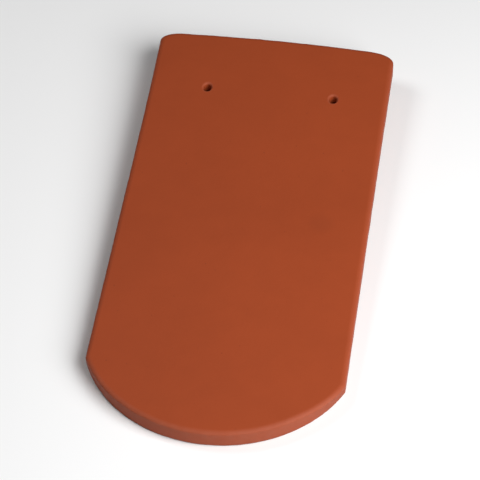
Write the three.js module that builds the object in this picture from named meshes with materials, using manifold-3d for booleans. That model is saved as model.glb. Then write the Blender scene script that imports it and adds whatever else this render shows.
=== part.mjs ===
// Beaver-tail clay roof tile: a thin slab of fired clay with a round-cut tail, rolled edges, a slightly
// bowed head, two punched nail holes and one nib on its back that hooks over the roof batten.
//
// Tile frame, in millimetres: X across the tile, Y up the slope from the tip of the tail, and Z out of
// the face that meets the weather, with Z = 0 on the crown of that face. At the end the tile is laid
// down as it rests on a level floor: on its tail and on the foot of its nib.

import * as THREE from 'three';
import { LoftGeometry } from 'three/addons/geometries/LoftGeometry.js';
import { mergeGeometries, mergeVertices } from 'three/addons/utils/BufferGeometryUtils.js';
import Module from 'manifold-3d';

// Slab
const WIDTH = 180;
const LENGTH = 380;
const THICKNESS = 13.7;
const CAMBER = 1.9; // how far the long middle line stands above the long sides

// Outline
const TAIL_DEPTH = 57.7; // the round cut's reach past the shoulders, where it meets the long sides
const HEAD_BOW = 1; // how far the middle of the head stands past its ends
// The head's corners are rounded further along the head than down the long sides, and unalike.
const LEFT_CORNER_ACROSS = 15.5;
const LEFT_CORNER_DOWN = 6.8;
const RIGHT_CORNER_ACROSS = 19;
const RIGHT_CORNER_DOWN = 9.5;

// Edges, rolled while the clay is soft
const FACE_ROLL = 3; // radius between the face and the edge
const BACK_ROLL = 1.5; // radius between the edge and the back

// Nail holes, punched from the face with a tapered pin
const HOLE_SPACING = 95.7;
const HOLE_FROM_HEAD = 57.5;
const HOLE_DRIFT = 1.5; // the pair is punched this far to one side of the middle
const HOLE_WIDTH = 5.8; // under the mouth's roll
const HOLE_BACK_WIDTH = 5.5;
const HOLE_STRETCH = 1.3; // how many times longer a hole is along the tile than across it
const MOUTH_ROLL = 1.6; // radius of the clay that the pin draws in round the mouth
const MOUTH_TURN = THREE.MathUtils.degToRad(75); // how far the roll has turned where it meets the face
const PIN_PAST = 1; // how far the pin's shape runs on past the face and the back

// Nib: a short length left of the rib that runs down the back of the extruded band
const NIB_FOOT_WIDTH = 32;
const NIB_HEIGHT = 15;
const NIB_FLANK_SPREAD = 4; // each flank leans out by this much from foot to back
const NIB_SETBACK = 8; // from the head's edge to the root of its slope
const NIB_FOOT_LENGTH = 8;
const NIB_SLOPE_LENGTH = 9; // the face behind the foot runs out to the back over this length
const NIB_ROUNDING = 2; // its foot's edges
const NIB_FILLET = 3; // where its flanks and its slope meet the back
const HOOK_FILLET = 1; // where its square face meets the back

// How finely curves are cut
const STATIONS_ACROSS = 61; // an odd number leaves a flat strip down the middle
const STATION_CROWDING = THREE.MathUtils.degToRad(80); // nearer 90 degrees crowds them at the sides
const ROLL_STEPS = 6;
const HOLE_SIDES = 32;
const CURVE_STEPS = 6;
const WELD = 1e-6; // points closer than this are one point

const halfWidth = WIDTH / 2;
const tailRadius = (halfWidth ** 2 + TAIL_DEPTH ** 2) / (2 * TAIL_DEPTH);
const backLevel = -THICKNESS;

const wasm = await Module();
wasm.setup();

/** A closed geometry as a solid that can be joined and cut. */
function solidOf(geometry) {
  const bare = geometry.clone();
  bare.deleteAttribute('normal');
  bare.deleteAttribute('uv');
  const welded = mergeVertices(bare);
  return new wasm.Manifold(new wasm.Mesh({
    numProp: 3,
    vertProperties: new Float32Array(welded.attributes.position.array),
    triVerts: new Uint32Array(welded.index.array),
  }));
}

/** A solid as a geometry to draw. */
function geometryOf(solid) {
  const mesh = solid.getMesh();
  const geometry = new THREE.BufferGeometry();
  geometry.setAttribute('position', new THREE.BufferAttribute(mesh.vertProperties, 3));
  geometry.setIndex(new THREE.BufferAttribute(mesh.triVerts, 1));
  const faceted = geometry.toNonIndexed();
  faceted.computeVertexNormals();
  return faceted;
}

// ---- Slab: a skin round the outline, closed by a face and a back ----

/** How far the bent slab has dropped at x. */
function camberDrop(x) {
  return CAMBER * (x / halfWidth) ** 2;
}

/** Places across the tile, from -1 to 1, closer together towards the sides, where the outline turns. */
const stations = Array.from({ length: STATIONS_ACROSS + 1 }, (_, i) => {
  const sweep = (2 * i / STATIONS_ACROSS - 1) * STATION_CROWDING;
  return Math.sin(sweep) / Math.sin(STATION_CROWDING);
});

/** The tail's edge, drawn in from the outline by inset. Its arc keeps its centre. */
function tailY(x, inset) {
  return tailRadius - Math.sqrt((tailRadius - inset) ** 2 - x ** 2);
}

/** The head's edge, drawn in by inset: a slight bow that turns down each side in a quarter ellipse. */
function headY(x, inset) {
  const bowed = LENGTH - inset - HEAD_BOW * (x / halfWidth) ** 2;
  const cornerAcross = x < 0 ? LEFT_CORNER_ACROSS : RIGHT_CORNER_ACROSS;
  const across = cornerAcross - inset;
  const down = (x < 0 ? LEFT_CORNER_DOWN : RIGHT_CORNER_DOWN) - inset;
  const intoCorner = Math.max(0, Math.abs(x) - (halfWidth - cornerAcross)) / across;
  return bowed - down * (1 - Math.sqrt(Math.max(0, 1 - intoCorner ** 2)));
}

/** One edge of the tile from left to right, at a depth below the face, bent to the camber. */
function edgeLine(edgeY, inset, level) {
  return stations.map((station) => {
    const x = station * (halfWidth - inset);
    return new THREE.Vector3(x, edgeY(x, inset), level - camberDrop(x));
  });
}

/** The whole outline, anticlockwise seen from the face. */
function outlineRing({ inset, level }) {
  return [...edgeLine(tailY, inset, level), ...edgeLine(headY, inset, level).reverse()];
}

/** The edge's section from the back up to the face: a small roll, the upright edge and a larger roll. */
function edgeSection() {
  const quarter = Array.from({ length: ROLL_STEPS + 1 }, (_, i) => i / ROLL_STEPS * Math.PI / 2);
  const backRoll = quarter.map((turn) => ({
    inset: BACK_ROLL * (1 - Math.sin(turn)),
    level: backLevel + BACK_ROLL * (1 - Math.cos(turn)),
  }));
  const faceRoll = quarter.map((turn) => ({
    inset: FACE_ROLL * (1 - Math.cos(turn)),
    level: -FACE_ROLL * (1 - Math.sin(turn)),
  }));
  return [...backRoll, ...faceRoll];
}

function slabSolid() {
  const rim = new LoftGeometry(edgeSection().map(outlineRing));
  const face = new LoftGeometry(
    [edgeLine(tailY, FACE_ROLL, 0), edgeLine(headY, FACE_ROLL, 0)],
    { closed: false },
  );
  const back = new LoftGeometry(
    [edgeLine(headY, BACK_ROLL, backLevel), edgeLine(tailY, BACK_ROLL, backLevel)],
    { closed: false },
  );
  return solidOf(mergeGeometries([rim, face, back]));
}

// ---- Nib: the rib's section, cut off by a square face towards the tail and a slope towards the head ----

const rootLevel = backLevel / 2; // the nib's two shapes start inside the slab
const footLevel = backLevel - NIB_HEIGHT;
const slopeRootY = LENGTH - NIB_SETBACK;
const footEndY = slopeRootY - NIB_SLOPE_LENGTH;
const hookY = footEndY - NIB_FOOT_LENGTH;

/** A closed outline through corners [x, y, rounding], in order. */
function roundedOutline(corners) {
  const points = corners.map(([x, y]) => new THREE.Vector2(x, y));
  const shape = new THREE.Shape();
  corners.forEach(([, , rounding], i) => {
    const corner = points[i];
    const towards = (other) => other.clone().sub(corner).setLength(rounding).add(corner);
    const start = towards(points.at(i - 1));
    const end = towards(points[(i + 1) % points.length]);
    if (i === 0) {
      shape.moveTo(start.x, start.y);
    } else if (shape.currentPoint.distanceTo(start) > WELD) {
      shape.lineTo(start.x, start.y);
    }
    if (rounding > 0) {
      shape.quadraticCurveTo(corner.x, corner.y, end.x, end.y);
    }
  });
  return shape;
}

/** The rib's section across the tile, in X and Z. */
function ribSection() {
  const foot = NIB_FOOT_WIDTH / 2;
  const root = foot + NIB_FLANK_SPREAD;
  const end = root + NIB_FILLET;
  return roundedOutline([
    [-end, backLevel, 0],
    [-root, backLevel, NIB_FILLET],
    [-foot, footLevel, NIB_ROUNDING],
    [foot, footLevel, NIB_ROUNDING],
    [root, backLevel, NIB_FILLET],
    [end, backLevel, 0],
    [end, rootLevel, 0],
    [-end, rootLevel, 0],
  ]);
}

/** The nib's section along the tile, in Y and Z. */
function nibSection() {
  return roundedOutline([
    [hookY - HOOK_FILLET, backLevel, 0],
    [hookY, backLevel, HOOK_FILLET],
    [hookY, footLevel, NIB_ROUNDING],
    [footEndY, footLevel, NIB_ROUNDING],
    [slopeRootY, backLevel, NIB_FILLET],
    [slopeRootY + NIB_FILLET, backLevel, 0],
    [slopeRootY + NIB_FILLET, rootLevel, 0],
    [hookY - HOOK_FILLET, rootLevel, 0],
  ]);
}

function nibSolid() {
  const options = { bevelEnabled: false, curveSegments: CURVE_STEPS };
  const rib = new THREE.ExtrudeGeometry(ribSection(), { ...options, depth: LENGTH });
  rib.rotateX(Math.PI / 2); // section upright, running along -Y
  rib.translate(0, LENGTH, 0);
  const cut = new THREE.ExtrudeGeometry(nibSection(), { ...options, depth: WIDTH });
  const yToX = new THREE.Matrix4().makeBasis(
    new THREE.Vector3(0, 1, 0),
    new THREE.Vector3(0, 0, 1),
    new THREE.Vector3(1, 0, 0),
  );
  cut.applyMatrix4(yToX); // section in Y and Z, running along X
  cut.translate(-halfWidth, 0, 0);
  return solidOf(rib).intersect(solidOf(cut));
}

// ---- Nail holes: tapered and a little long, with rolled mouths ----

/** The shape that a pin leaves, standing on the middle of the mouth. */
function punchSolid(x) {
  const mouth = HOLE_WIDTH / 2;
  const taper = (HOLE_WIDTH - HOLE_BACK_WIDTH) / 2 / THICKNESS;
  const tip = -THICKNESS - PIN_PAST;
  const roll = Array.from({ length: ROLL_STEPS + 1 }, (_, i) => {
    const turn = i / ROLL_STEPS * MOUTH_TURN;
    return [
      mouth + MOUTH_ROLL * (1 - Math.cos(turn)),
      MOUTH_ROLL * (Math.sin(turn) - Math.sin(MOUTH_TURN)),
    ];
  });
  const [rim] = roll.at(-1);
  const profile = [
    [0, tip],
    [mouth + taper * tip, tip],
    ...roll,
    [rim + PIN_PAST * Math.tan(MOUTH_TURN), PIN_PAST],
    [0, PIN_PAST],
  ];
  const punch = new THREE.LatheGeometry(profile.map(([r, h]) => new THREE.Vector2(r, h)), HOLE_SIDES);
  punch.rotateX(Math.PI / 2);
  punch.scale(1, HOLE_STRETCH, 1);
  punch.translate(x, LENGTH - HOLE_FROM_HEAD, -camberDrop(x));
  return solidOf(punch);
}

function tileSolid() {
  const holes = [-1, 1].map((side) => punchSolid(HOLE_DRIFT + side * HOLE_SPACING / 2));
  const blank = slabSolid().add(nibSolid());
  return holes.reduce((tile, hole) => tile.subtract(hole), blank);
}

// ---- The tile, laid on a level floor ----

const firedClay = new THREE.MeshStandardMaterial({ color: 0xa64a2d, roughness: 0.85, metalness: 0 });

const tile = new THREE.Mesh(geometryOf(tileSolid()), firedClay);
tile.name = 'roof_tile';

// Face up, the tail and the edge of the nib's foot touch the floor, and the head stands off it.
const laid = new THREE.Group();
laid.rotation.x = Math.atan2(NIB_HEIGHT, hookY + NIB_ROUNDING - BACK_ROLL);
laid.add(tile);

const roofTile = new THREE.Group();
roofTile.add(laid);
const box = new THREE.Box3().setFromObject(roofTile, true);
laid.position.set(0, -(box.min.y + box.max.y) / 2, -box.min.z);

export default roofTile;
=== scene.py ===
import bpy
from math import atan2, cos, hypot, pi, radians, sin
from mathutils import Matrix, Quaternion, Vector


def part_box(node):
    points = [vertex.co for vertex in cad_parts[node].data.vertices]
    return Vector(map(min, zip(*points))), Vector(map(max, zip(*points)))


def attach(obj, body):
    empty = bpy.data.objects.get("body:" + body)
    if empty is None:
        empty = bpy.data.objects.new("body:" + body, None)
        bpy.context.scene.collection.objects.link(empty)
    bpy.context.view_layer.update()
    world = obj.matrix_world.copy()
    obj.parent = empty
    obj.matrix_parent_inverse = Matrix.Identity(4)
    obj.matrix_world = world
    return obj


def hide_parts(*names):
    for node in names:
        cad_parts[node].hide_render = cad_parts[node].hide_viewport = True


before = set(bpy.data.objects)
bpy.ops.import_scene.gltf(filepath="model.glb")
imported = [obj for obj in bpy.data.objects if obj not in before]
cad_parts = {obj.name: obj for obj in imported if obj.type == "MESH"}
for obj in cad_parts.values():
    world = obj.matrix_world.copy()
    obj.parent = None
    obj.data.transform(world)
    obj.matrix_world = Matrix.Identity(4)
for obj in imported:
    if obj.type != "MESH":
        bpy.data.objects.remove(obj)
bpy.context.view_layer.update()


# ---- The tile's blank -------------------------------------------------------------------------------
# A beaver-tail tile starts as a flat band of clay from the extruder. A cutter rounds its tail and trims
# its head, each a hair out of true. The blank is drawn face up, in metres, with its face at z = 0 and the
# tip of its tail at y = 0.

WIDTH = 0.180
LENGTH = 0.3799
THICKNESS = 0.0137
TAIL_DEPTH = 0.0582
TAIL_DRIFT = -0.0003
TAIL_CUT = 0.068
HEAD_BOW = 0.0011
HEAD_SKEW = 0.0002
LEFT_CORNER_ACROSS = 0.018
LEFT_CORNER_DOWN = 0.0095
RIGHT_CORNER_ACROSS = 0.021
RIGHT_CORNER_DOWN = 0.011
CORNER_FULLNESS = 2.4

TAIL_SIDES = 360
CORNER_STEPS = 12
BOW_STEPS = 5
SHOULDER_GAP = 0.0005
FLAT_ANGLE = 0.05
NEAR = 0.00005
SQUARE_ON = 0.99

half_width = WIDTH / 2
tail_radius = (half_width**2 + TAIL_DEPTH**2) / (2 * TAIL_DEPTH)


def head_edge(x):
    """How far up the head's edge lies at x: a bow a hair out of square, with a rounded corner at each end."""
    across, down = LEFT_CORNER_ACROSS, LEFT_CORNER_DOWN
    if x > 0:
        across, down = RIGHT_CORNER_ACROSS, RIGHT_CORNER_DOWN
    into_corner = max(0, abs(x) - (half_width - across)) / across
    bow = LENGTH - HEAD_BOW * (x / half_width) ** 2 - HEAD_SKEW * x / half_width
    return bow - down * (1 - max(0, 1 - into_corner**CORNER_FULLNESS) ** (1 / CORNER_FULLNESS))


def quarter_turn(steps):
    """The angles that part a quarter of a turn into this many steps."""
    return [step / steps * pi / 2 for step in range(steps + 1)]


def edit(select_mode):
    """Puts the active object in edit mode, ready to pick vertices, edges or faces."""
    bpy.ops.object.mode_set(mode="EDIT")
    bpy.ops.mesh.select_mode(type=select_mode)


def pick(parts, wanted):
    """In edit mode, selects the vertices, edges or polygons for which wanted(part) holds."""
    bpy.ops.mesh.select_all(action="DESELECT")
    bpy.ops.object.mode_set(mode="OBJECT")
    for part in getattr(bpy.context.object.data, parts):
        part.select = wanted(part)
    bpy.ops.object.mode_set(mode="EDIT")


def ends(edge):
    """The two end points of an edge of the active object."""
    points = bpy.context.object.data.vertices
    return [points[i].co for i in edge.vertices]


def trim(point, outward):
    """Cuts away all that lies beyond a plane, and closes the cut."""
    bpy.ops.mesh.select_all(action="SELECT")
    bpy.ops.mesh.bisect(plane_co=point, plane_no=outward, threshold=1e-7, clear_outer=True, use_fill=True)


bpy.ops.object.select_all(action="DESELECT")
bpy.ops.mesh.primitive_cylinder_add(
    vertices=TAIL_SIDES,
    radius=tail_radius,
    depth=THICKNESS,
    location=(TAIL_DRIFT, tail_radius, -THICKNESS / 2),
)
tile = bpy.context.object
tile.name = "clay_tile"
tile.data.name = "clay_tile"
bpy.ops.object.transform_apply(location=True, rotation=True, scale=True)

edit("FACE")
trim((half_width, 0, 0), (1, 0, 0))
trim((-half_width, 0, 0), (-1, 0, 0))
trim((0, TAIL_CUT, 0), (0, 1, 0))

# The sides are pulled out to the head, and the head is trimmed along its bow and round its two corners.
pick("polygons", lambda face: face.normal.y > SQUARE_ON and face.center.y > TAIL_CUT - NEAR)
bpy.ops.mesh.extrude_region_move(TRANSFORM_OT_translate={"value": (0, LENGTH - TAIL_CUT, 0)})
head_xs = [LEFT_CORNER_ACROSS * (1 - cos(turn)) - half_width for turn in quarter_turn(CORNER_STEPS)]
head_xs += [head_xs[-1] * (1 - step / BOW_STEPS) for step in range(1, BOW_STEPS)]
corner_x = half_width - RIGHT_CORNER_ACROSS
head_xs += [corner_x * step / BOW_STEPS for step in range(BOW_STEPS)]
head_xs += [corner_x + RIGHT_CORNER_ACROSS * sin(turn) for turn in quarter_turn(CORNER_STEPS)]
for x, next_x in zip(head_xs, head_xs[1:]):
    y = head_edge(x)
    trim((x, y, 0), (y - head_edge(next_x), next_x - x, 0))
bpy.ops.mesh.select_all(action="SELECT")
bpy.ops.mesh.dissolve_limited(angle_limit=radians(FLAT_ANGLE))


def by_shoulder(point):
    """Whether a point of the tail's arc lies so near a side that the roll would turn its last piece over."""
    return point.y < TAIL_CUT and NEAR < half_width - abs(point.x) < SHOULDER_GAP


bpy.ops.mesh.select_mode(type="EDGE")
pick("edges", lambda edge: all(by_shoulder(point) for point in ends(edge)))
bpy.ops.mesh.dissolve_edges(use_verts=True)
bpy.ops.mesh.select_mode(type="FACE")


# ---- The rolled edges -------------------------------------------------------------------------------
# The die and the cutter pad press the face's edge down all round into a soft roll, which runs further
# in over the face than down the wall. The back's edge is only broken by the belt under the green tile.

FACE_ROLL_IN = 0.0039
FACE_ROLL_DOWN = 0.0022
FACE_ROLL_STEPS = 10
BACK_ROLL = 0.0015
BACK_ROLL_STEPS = 5
ROUND = 0.5

pick("polygons", lambda face: face.normal.z > SQUARE_ON)
bpy.ops.transform.translate(value=(0, 0, -FACE_ROLL_DOWN))
roll_turns = quarter_turn(FACE_ROLL_STEPS)
for turn, next_turn in zip(roll_turns, roll_turns[1:]):
    bpy.ops.mesh.inset(
        thickness=FACE_ROLL_IN * (cos(turn) - cos(next_turn)),
        depth=FACE_ROLL_DOWN * (sin(next_turn) - sin(turn)),
    )
pick("edges", lambda edge: all(point.z < NEAR - THICKNESS for point in ends(edge)))
bpy.ops.mesh.bevel(offset=BACK_ROLL, segments=BACK_ROLL_STEPS, profile=ROUND, affect="EDGES")


# ---- The nib ----------------------------------------------------------------------------------------
# One nib hooks the tile over its batten. It is pressed out of the back with the rest of the tile: a
# square face towards the tail, flanks that taper and a long slope towards the head.

NIB_FOOT_WIDTH = 0.032
NIB_HEIGHT = 0.015
NIB_FLANK_SPREAD = 0.004
NIB_SETBACK = 0.008
NIB_FOOT_LENGTH = 0.008
NIB_SLOPE_LENGTH = 0.009
NIB_ROUNDING = 0.002
NIB_ROUNDING_STEPS = 5
NIB_FILLET = 0.0015
NIB_FILLET_STEPS = 4

slope_root_y = LENGTH - NIB_SETBACK
hook_y = slope_root_y - NIB_SLOPE_LENGTH - NIB_FOOT_LENGTH
nib_root_half = NIB_FOOT_WIDTH / 2 + NIB_FLANK_SPREAD
nib_foot_z = -THICKNESS - NIB_HEIGHT


def in_nib(point, margin=NEAR):
    """Whether a point lies on the nib's plan."""
    return abs(point.x) < nib_root_half + margin and hook_y - margin < point.y < slope_root_y + margin


def on_back(face):
    """Whether a face is part of the flat back."""
    return face.normal.z < -SQUARE_ON and abs(face.center.z + THICKNESS) < NEAR


def cut_through(point, outward):
    """Cuts the whole mesh along a plane and keeps both sides."""
    bpy.ops.mesh.select_all(action="SELECT")
    bpy.ops.mesh.bisect(plane_co=point, plane_no=outward)


bpy.ops.mesh.select_mode(type="FACE")
for point, outward in (
    ((nib_root_half, 0, 0), (1, 0, 0)),
    ((-nib_root_half, 0, 0), (1, 0, 0)),
    ((0, hook_y, 0), (0, 1, 0)),
    ((0, slope_root_y, 0), (0, 1, 0)),
):
    pick("polygons", on_back)
    bpy.ops.mesh.bisect(plane_co=point, plane_no=outward)
pick("polygons", lambda face: on_back(face) and in_nib(face.center, -NEAR))
bpy.ops.mesh.extrude_region_move(TRANSFORM_OT_translate={"value": (0, 0, -NIB_HEIGHT)})
bpy.ops.transform.resize(
    value=(
        NIB_FOOT_WIDTH / 2 / nib_root_half,
        NIB_FOOT_LENGTH / (NIB_FOOT_LENGTH + NIB_SLOPE_LENGTH),
        1,
    ),
    center_override=(0, hook_y, nib_foot_z),
)


def nib_edges(wanted):
    """Selects the nib's edges for which wanted(first end, second end) holds."""
    bpy.ops.mesh.select_mode(type="EDGE")
    pick("edges", lambda edge: all(in_nib(point) for point in ends(edge)) and wanted(*ends(edge)))


nib_edges(lambda a, b: min(a.z, b.z) < nib_foot_z + NEAR)
bpy.ops.mesh.bevel(offset=NIB_ROUNDING, segments=NIB_ROUNDING_STEPS, profile=ROUND, affect="EDGES")

# A cut down the middle parts the back in two, and each half becomes one polygon round half of the nib.
cut_through((0, 0, 0), (1, 0, 0))
for side in (-1, 1):
    bpy.ops.mesh.select_mode(type="FACE")
    pick("polygons", lambda face: on_back(face) and side * face.center.x > 0)
    bpy.ops.mesh.dissolve_faces()
nib_edges(lambda a, b: min(a.z, b.z) > -THICKNESS - NEAR and abs(a.x - b.x) + abs(a.y - b.y) > NEAR)
bpy.ops.mesh.bevel(offset=NIB_FILLET, segments=NIB_FILLET_STEPS, profile=ROUND, affect="EDGES")
bpy.ops.object.mode_set(mode="OBJECT")


# ---- The nail holes ---------------------------------------------------------------------------------
# Two tapered pins punch the nail holes through the green clay from the face. The pins drag the clay in
# after them, which rounds each hole's mouth, and they leave the holes a little long.

HOLE_SPACING = 0.0957
HOLE_FROM_HEAD = 0.0575
HOLE_DRIFT = 0.0015
MOUTH_WIDTH = 0.0058
BACK_WIDTH = 0.0055
HOLE_STRETCH = 1.3
MOUTH_ROLL = 0.0016
MOUTH_ROLL_STEPS = 8
BACK_LIP = 0.0004
BACK_LIP_STEPS = 3
HOLE_SIDES = 48
PIN_PAST = 0.003
DOUBLE = 0.00001

hole_y = LENGTH - HOLE_FROM_HEAD
hole_xs = [HOLE_DRIFT + side * HOLE_SPACING / 2 for side in (-1, 1)]
pin_flare = (MOUTH_WIDTH - BACK_WIDTH) / 2 * PIN_PAST / THICKNESS
bpy.ops.object.select_all(action="DESELECT")
bpy.ops.mesh.primitive_cone_add(
    vertices=HOLE_SIDES,
    radius1=BACK_WIDTH / 2 - pin_flare,
    radius2=MOUTH_WIDTH / 2 + pin_flare,
    depth=THICKNESS + 2 * PIN_PAST,
    location=(hole_xs[0], hole_y, -THICKNESS / 2),
    scale=(1, HOLE_STRETCH, 1),
)
pins = bpy.context.object
pins.name = "punch_pins"
bpy.ops.object.transform_apply(location=True, rotation=True, scale=True)
edit("FACE")
bpy.ops.mesh.select_all(action="SELECT")
bpy.ops.mesh.duplicate_move(TRANSFORM_OT_translate={"value": (HOLE_SPACING, 0, 0)})
bpy.ops.object.mode_set(mode="OBJECT")
bpy.ops.object.select_all(action="DESELECT")

# Cuts through the holes' middles keep each polygon round a hole simple.
bpy.context.view_layer.objects.active = tile
tile.select_set(True)
edit("FACE")
cut_through((0, hole_y, 0), (0, 1, 0))
for x in hole_xs:
    cut_through((x, 0, 0), (1, 0, 0))


def modifier(kind, **settings):
    """Gives the active object a modifier and applies it."""
    bpy.ops.object.mode_set(mode="OBJECT")
    bpy.ops.object.modifier_add(type=kind)
    added = bpy.context.object.modifiers[-1]
    for setting, value in settings.items():
        setattr(added, setting, value)
    bpy.ops.object.modifier_apply(modifier=added.name)


modifier("BOOLEAN", object=pins, operation="DIFFERENCE", solver="EXACT")
bpy.data.objects.remove(pins)


def on_rim(edge, width, z):
    """Whether an edge lies on the rim that a hole this wide leaves at this height."""
    for point in ends(edge):
        from_axis = min(hypot(point.x - x, (point.y - hole_y) / HOLE_STRETCH) for x in hole_xs)
        if abs(from_axis - width / 2) > NEAR or abs(point.z - z) > NEAR:
            return False
    return True


# A rim's corner that falls on one of those cuts comes out double, which would leave slivers in its roll.
edit("EDGE")
bpy.ops.mesh.select_all(action="SELECT")
bpy.ops.mesh.remove_doubles(threshold=DOUBLE)
pick("edges", lambda edge: on_rim(edge, MOUTH_WIDTH, 0))
bpy.ops.mesh.bevel(offset=MOUTH_ROLL, segments=MOUTH_ROLL_STEPS, profile=ROUND, affect="EDGES")
pick("edges", lambda edge: on_rim(edge, BACK_WIDTH, -THICKNESS))
bpy.ops.mesh.bevel(offset=BACK_LIP, segments=BACK_LIP_STEPS, profile=ROUND, affect="EDGES")


# ---- Camber and the clay's unevenness ---------------------------------------------------------------
# A tile dries and burns a little arched across its width, which lets the lapped tiles breathe. The cutter
# drags the face out over the back at the tail's two shoulders, the sides are slightly waisted, and no
# surface comes out quite flat. The blank is cut into a fine net first, so that it bends well.

CAMBER = 0.0019
LEFT_LEAN = 0.0023
LEFT_LEAN_REACH = 0.075
RIGHT_LEAN = 0.0042
RIGHT_LEAN_REACH = 0.052
LEFT_WAIST = 0.00095
RIGHT_WAIST = 0.00045
HEAD_FLARE_REACH = 0.1
TAIL_FLARE = 0.00017
TAIL_FLARE_REACH = 0.15
NET = 0.0036
SWELL = 0.0002
SWELL_ACROSS = 0.045
WOBBLE = 0.00035
WOBBLE_ACROSS = 0.009
ARRIS = 0.006

edit("FACE")
steps_out = int(half_width / NET)
for step in range(-steps_out, steps_out + 1):
    cut_through((step * NET, 0, 0), (1, 0, 0))
for step in range(1, int(LENGTH / NET) + 1):
    cut_through((0, step * NET, 0), (0, 1, 0))
bpy.ops.object.mode_set(mode="OBJECT")


def weigh(name, weight_at):
    """Gives the tile a vertex group with the weight weight_at(point) at each vertex."""
    group = tile.vertex_groups.new(name=name)
    for vertex in tile.data.vertices:
        group.add([vertex.index], weight_at(vertex.co), "REPLACE")


def clouds(name, across, depth):
    """A cloudy noise whose lumps are this wide, of its own in each of X, Y and Z."""
    texture = bpy.data.textures.new(name, type="CLOUDS")
    texture.cloud_type = "COLOR"
    texture.noise_scale = across
    texture.noise_depth = depth
    return texture


def edge_distance(point):
    """How far inside the tile's outline a point lies."""
    from_sides = half_width - abs(point.x)
    from_head = head_edge(point.x) - point.y
    from_tail = tail_radius - hypot(point.x - TAIL_DRIFT, tail_radius - min(point.y, tail_radius))
    return min(from_sides, from_head, from_tail)


def hole_distance(point):
    """How far outside the nearer nail hole's bore a point lies, across the tile."""
    return min(hypot(point.x - x, (point.y - hole_y) / HOLE_STRETCH) for x in hole_xs) - MOUTH_WIDTH / 2


for field_name, distance in (("from_edge", edge_distance), ("from_hole", hole_distance)):
    field = tile.data.attributes.new(field_name, "FLOAT", "POINT")
    field.data.foreach_set("value", [distance(vertex.co) for vertex in tile.data.vertices])


def eased(rise):
    """A straight rise from nothing to one, eased at both ends."""
    held = max(0, rise)
    return held**2 * (3 - 2 * held)


def arris_weight(point):
    """One along the tile's edge, fading to nothing at ARRIS inside it."""
    return eased(1 - edge_distance(point) / ARRIS)


def lean_weight(point, side, reach):
    """One on the face at this side's shoulder, fading to nothing within reach and at the back."""
    from_shoulder = hypot(half_width - side * point.x, point.y - TAIL_DEPTH)
    return eased(1 - from_shoulder / reach) * max(0, 1 + point.z / THICKNESS)


def waist_weight(point, side, waist):
    """One down this side, less towards the tail, and fading to nothing at the middle and the head."""
    near_head = max(0, 1 - (LENGTH - point.y) / HEAD_FLARE_REACH)
    near_tail = min(1, max(0, 1 - (point.y - TAIL_DEPTH) / TAIL_FLARE_REACH))
    drawn_in = 1 - near_head**2 - TAIL_FLARE / waist * near_tail
    return drawn_in * max(0, side * point.x / half_width)


weigh("camber", lambda point: (point.x / half_width) ** 2)
weigh("left_lean", lambda point: lean_weight(point, -1, LEFT_LEAN_REACH))
weigh("right_lean", lambda point: lean_weight(point, 1, RIGHT_LEAN_REACH))
weigh("left_waist", lambda point: waist_weight(point, -1, LEFT_WAIST))
weigh("right_waist", lambda point: waist_weight(point, 1, RIGHT_WAIST))
weigh("arris", arris_weight)
for group, direction, strength in (
    ("camber", "Z", -CAMBER),
    ("left_lean", "Y", -LEFT_LEAN),
    ("right_lean", "Y", -RIGHT_LEAN),
    ("left_waist", "X", LEFT_WAIST),
    ("right_waist", "X", -RIGHT_WAIST),
):
    modifier("DISPLACE", vertex_group=group, direction=direction, strength=strength, mid_level=0)
modifier("DISPLACE", texture=clouds("swell", SWELL_ACROSS, depth=1), direction="RGB_TO_XYZ", strength=SWELL)
modifier(
    "DISPLACE",
    vertex_group="arris",
    texture=clouds("wobble", WOBBLE_ACROSS, depth=2),
    direction="RGB_TO_XYZ",
    strength=WOBBLE,
)


# ---- How the tile lies ------------------------------------------------------------------------------
# Off the roof the tile rests on the tip of its tail and on its nib's foot, which lifts its head. Its
# unevenness adds a tenth of a millimetre here and there, which is taken off again all over.

tile.rotation_euler.x = atan2(NIB_HEIGHT, hook_y + NIB_ROUNDING - BACK_ROLL)
bpy.ops.object.transform_apply(location=True, rotation=True, scale=True)
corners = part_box("roof_tile")
for axis, lowest, highest in zip(range(3), *corners):
    places = [vertex.co[axis] for vertex in tile.data.vertices]
    tile.scale[axis] = (highest - lowest) / (max(places) - min(places))
    tile.location[axis] = lowest - min(places) * tile.scale[axis]
bpy.ops.object.transform_apply(location=True, rotation=True, scale=True)
tile.vertex_groups.clear()
bpy.ops.object.shade_smooth()
modifier("WEIGHTED_NORMAL", mode="FACE_AREA", weight=50, keep_sharp=False)
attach(tile, "root")
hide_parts("roof_tile")


# ---- The fired clay ---------------------------------------------------------------------------------
# The clay burns to a warm orange red all through. It comes out matt and a little sandy, clouded where the
# kiln was hotter, with fine iron specks and one faint smudge. Part dust and part painted sheen pales the cut
# tail, the right side and the holes' mouths, and the arris round the back carries painted shade.

CLAY_RED = (0.326, 0.0552, 0.0150, 1)
CLAY_DARK = (0.290, 0.0490, 0.0133, 1)
CLAY_PALE = (0.340, 0.1250, 0.0850, 1)
# This dark colour serves the iron specks and also the painted shade on the back's arris.
IRON_AND_SHADE = (0.050, 0.014, 0.008, 1)
CLOUD_WIDTH = 0.11
CLOUD_SHARE = 0.35
MOTTLE_WIDTH = 0.018
MOTTLE_SHARE = 0.25
GRAIN_WIDTH = 0.0009
GRAIN_SHARE = 0.4
DUST_AND_SHEEN_WIDTH = 0.006
DUST_AND_SHEEN_STRENGTH = 0.3
SPECK_WIDTH = 0.0016
SPECK_STRENGTH = 0.5
SMUDGE_AT = (0.056, 0.007, 0.0213)
SMUDGE_STRENGTH = 0.08
BACK_ARRIS_SHADE_STRENGTH = 0.4
GRAIN_HEIGHT = 0.00003
RIPPLE_WIDTH = 0.004
RIPPLE_HEIGHT = 0.00006
DRAG_WIDTH = 0.0012
DRAG_STRETCH = (1, 0.03, 1)
DRAG_HEIGHT = 0.00006
SPECK_DEPTH = 0.00004
ROUGHNESS = 0.56
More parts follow.
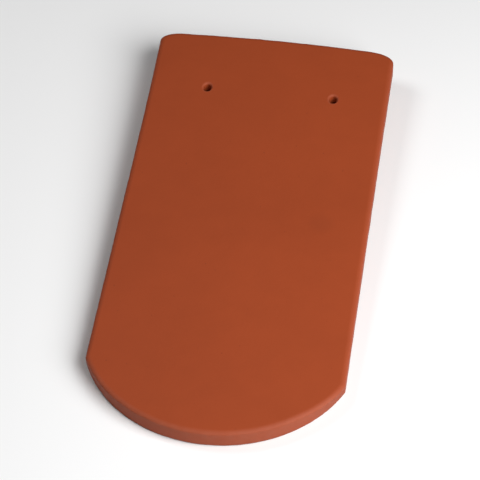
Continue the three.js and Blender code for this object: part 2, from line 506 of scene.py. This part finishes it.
GRAIN_ROUGHNESS = 0.12
WEAR_ROUGHNESS = 0.06
SPECULAR = 0.2

# A Mix node's sockets go by number, because its number and vector sockets have the same names.
MIX_FACTOR, COLOUR_A, COLOUR_B, MIXED_COLOUR = 0, 6, 7, 2


class Wire:
    """A socket of the clay's node tree. Sums and products of wires add Math nodes."""

    def __init__(self, tree, socket):
        self.tree = tree
        self.socket = socket

    def node(self, kind, settings, values, output=0):
        """Adds a node: its settings first, then its sockets' values or wires. Gives one output's wire."""
        made = self.tree.nodes.new(kind)
        for setting, value in settings.items():
            setattr(made, setting, value)
        for socket, value in values.items():
            if isinstance(value, Wire):
                self.tree.links.new(value.socket, made.inputs[socket])
            else:
                made.inputs[socket].default_value = value
        return Wire(self.tree, made.outputs[output])

    def maths(self, operation, first, second):
        """Joins two values or wires by a Math node."""
        return self.node("ShaderNodeMath", {"operation": operation}, {0: first, 1: second})

    def __add__(self, other):
        return self.maths("ADD", self, other)

    def __sub__(self, other):
        return self.maths("SUBTRACT", self, other)

    def __rsub__(self, other):
        return self.maths("SUBTRACT", other, self)

    def __mul__(self, other):
        return self.maths("MULTIPLY", self, other)

    __radd__ = __add__
    __rmul__ = __mul__

    def noise(self, across, detail=2, stretch=(1, 1, 1)):
        """Cloudy noise between 0 and 1 on this place, in lumps about this wide."""
        place = self.node("ShaderNodeMapping", {}, {"Vector": self, "Scale": stretch})
        return self.node("ShaderNodeTexNoise", {}, {"Vector": place, "Scale": 1 / across, "Detail": detail})

    def ramp(self, start, end, low=0, high=1):
        """Goes smoothly from low to high as this wire goes from start to end."""
        settings = {"interpolation_type": "SMOOTHSTEP"}
        limits = {"Value": self, "From Min": start, "From Max": end, "To Min": low, "To Max": high}
        return self.node("ShaderNodeMapRange", settings, limits)

    def blend(self, first, second):
        """Mixes two colours by this wire."""
        colours = {MIX_FACTOR: self, COLOUR_A: first, COLOUR_B: second}
        return self.node("ShaderNodeMix", {"data_type": "RGBA"}, colours, MIXED_COLOUR)


clay = bpy.data.materials.new("fired_clay")
clay.use_nodes = True
shader = clay.node_tree.nodes["Principled BSDF"]
nodes = Wire(clay.node_tree, None)
place = nodes.node("ShaderNodeTexCoord", {}, {}, "Object")
facing = nodes.node("ShaderNodeNewGeometry", {}, {}, "Normal")
facing_up = nodes.node("ShaderNodeSeparateXYZ", {}, {"Vector": facing}, "Z")
rightward = nodes.node("ShaderNodeSeparateXYZ", {}, {"Vector": place}, "X")
headward = nodes.node("ShaderNodeSeparateXYZ", {}, {"Vector": place}, "Y")
from_edge = nodes.node("ShaderNodeAttribute", {"attribute_name": "from_edge"}, {}, "Fac")
from_hole = nodes.node("ShaderNodeAttribute", {"attribute_name": "from_hole"}, {}, "Fac")
from_smudge = nodes.node("ShaderNodeVectorMath", {"operation": "DISTANCE"}, {0: place, 1: SMUDGE_AT}, "Value")

down_under = facing_up.ramp(start=-0.80, end=-0.98)
# Painted sheen: the right side is painted paler, where the key lamp's sheen falls on it.
painted_sheen_at_right = rightward.ramp(start=0.020, end=0.085, low=0.05, high=0.45)
at_tail = headward.ramp(start=-0.125, end=-0.150)
# The holes' mouths are painted paler too, partly dust and partly painted sheen.
at_mouth = from_hole.ramp(start=0.0018, end=0.0010, high=0.6) * facing_up.ramp(start=0.05, end=0.40)
at_rim = from_edge.ramp(start=0.0042, end=0) * nodes.maths("MAXIMUM", at_tail, painted_sheen_at_right)
worn_and_sheen = at_rim * (1 - down_under) + at_mouth

cloud = place.noise(CLOUD_WIDTH).ramp(start=0.35, end=0.65)
mottle = place.noise(MOTTLE_WIDTH, detail=3).ramp(start=0.3, end=0.7)
grain = place.noise(GRAIN_WIDTH)
redness = cloud * CLOUD_SHARE + mottle * MOTTLE_SHARE + grain * GRAIN_SHARE
# The pale mix is part dust and part painted sheen, a painted highlight on the tail, the right side and the
# holes' mouths.
dust_and_sheen = worn_and_sheen * DUST_AND_SHEEN_STRENGTH * place.noise(DUST_AND_SHEEN_WIDTH, detail=3).ramp(start=0.2, end=0.8, low=0.6)
specks = place.noise(SPECK_WIDTH, detail=1).ramp(start=0.77, end=0.83)
smudge = from_smudge.ramp(start=0.013, end=0.002)
# Painted shade: the downward-facing arris round the back is painted darker, as shade near the floor.
painted_shade_back_arris = facing_up.ramp(start=-0.05, end=-0.60) * from_edge.ramp(start=0.0030, end=0.0012)
stain_and_shade = specks * SPECK_STRENGTH + smudge * SMUDGE_STRENGTH + painted_shade_back_arris * BACK_ARRIS_SHADE_STRENGTH
colour = stain_and_shade.blend(dust_and_sheen.blend(redness.blend(CLAY_DARK, CLAY_RED), CLAY_PALE), IRON_AND_SHADE)

ripple = place.noise(RIPPLE_WIDTH)
drag = place.noise(DRAG_WIDTH, stretch=DRAG_STRETCH) * down_under
height = grain * GRAIN_HEIGHT + ripple * RIPPLE_HEIGHT + drag * DRAG_HEIGHT + specks * -SPECK_DEPTH
bump = nodes.node("ShaderNodeBump", {}, {"Height": height, "Distance": 1.0, "Strength": 1.0})
roughness = ROUGHNESS + GRAIN_ROUGHNESS * grain + WEAR_ROUGHNESS * worn_and_sheen

clay.node_tree.links.new(colour.socket, shader.inputs["Base Color"])
clay.node_tree.links.new(roughness.socket, shader.inputs["Roughness"])
clay.node_tree.links.new(bump.socket, shader.inputs["Normal"])
shader.inputs["Specular IOR Level"].default_value = SPECULAR
tile.data.materials.clear()
tile.data.materials.append(clay)


# ---- The floor --------------------------------------------------------------------------------------
# A plain white floor, quite matt and so wide that no edge of it is in sight. It is stage, and no part of
# the tile.

FLOOR_SIZE = 12
FLOOR_WHITE = (0.9, 0.9, 0.9, 1)

bpy.ops.object.select_all(action="DESELECT")
bpy.ops.mesh.primitive_plane_add(size=FLOOR_SIZE)
floor = bpy.context.object
floor.name = "floor"
floor_paint = bpy.data.materials.new("floor_paint")
floor_paint.use_nodes = True
floor_shader = floor_paint.node_tree.nodes["Principled BSDF"]
floor_shader.inputs["Roughness"].default_value = 1.0
floor_shader.inputs["Specular IOR Level"].default_value = 0.0
floor_shader.inputs["Base Color"].default_value = FLOOR_WHITE
floor.data.materials.append(floor_paint)


# ---- The light --------------------------------------------------------------------------------------
# One broad soft lamp stands to the front right, halfway up. A smaller and weaker one fills in from the
# left, higher up and a little behind, and the white room gives a trace of light from all round.

ROOM_LIGHT = 0.01


def soft_lamp(name, towards, height, distance, size, power):
    """A square lamp at this bearing from -Y towards +X and this height above the floor, in degrees."""
    bearing = radians(towards)
    rise = radians(height)
    lamp = bpy.data.lights.new(name, type="AREA")
    lamp.size = size
    lamp.energy = power
    stand = bpy.data.objects.new(name, lamp)
    bpy.context.scene.collection.objects.link(stand)
    away = Vector((sin(bearing) * cos(rise), -cos(bearing) * cos(rise), sin(rise)))
    stand.location = away * distance
    stand.rotation_euler = away.to_track_quat("Z", "Y").to_euler()


soft_lamp("key", towards=57, height=41, distance=1.3, size=1.05, power=26.3)
soft_lamp("fill", towards=-108, height=52, distance=1.3, size=0.5, power=4.45)

room = bpy.data.worlds.new("room")
bpy.context.scene.world = room
room.use_nodes = True
room.node_tree.nodes["Background"].inputs["Color"].default_value = (1, 1, 1, 1)
room.node_tree.nodes["Background"].inputs["Strength"].default_value = ROOM_LIGHT
bpy.context.scene.view_settings.view_transform = "Standard"


# ---- The camera -------------------------------------------------------------------------------------
# It looks down on the tile's face from in front of its tail and a little to the right, through a long
# lens that draws the two sides in only slightly towards the head.

AIM = Vector((0.00054, -0.0169, 0.02084))
HEADING = -8.42
LOOKING_DOWN = 46.194
ROLL = -0.1425
CAMERA_DISTANCE = 1.7688
LENS = 186.41

heading = radians(HEADING)
down = radians(LOOKING_DOWN)
ahead = Vector((sin(heading) * cos(down), cos(heading) * cos(down), -sin(down)))
camera_data = bpy.data.cameras.new("camera")
camera_data.lens = LENS
camera = bpy.data.objects.new("camera", camera_data)
bpy.context.scene.collection.objects.link(camera)
camera.location = AIM - ahead * CAMERA_DISTANCE
pointing = ahead.to_track_quat("-Z", "Y") @ Quaternion((0, 0, 1), radians(ROLL))
camera.rotation_euler = pointing.to_euler()
bpy.context.scene.camera = camera
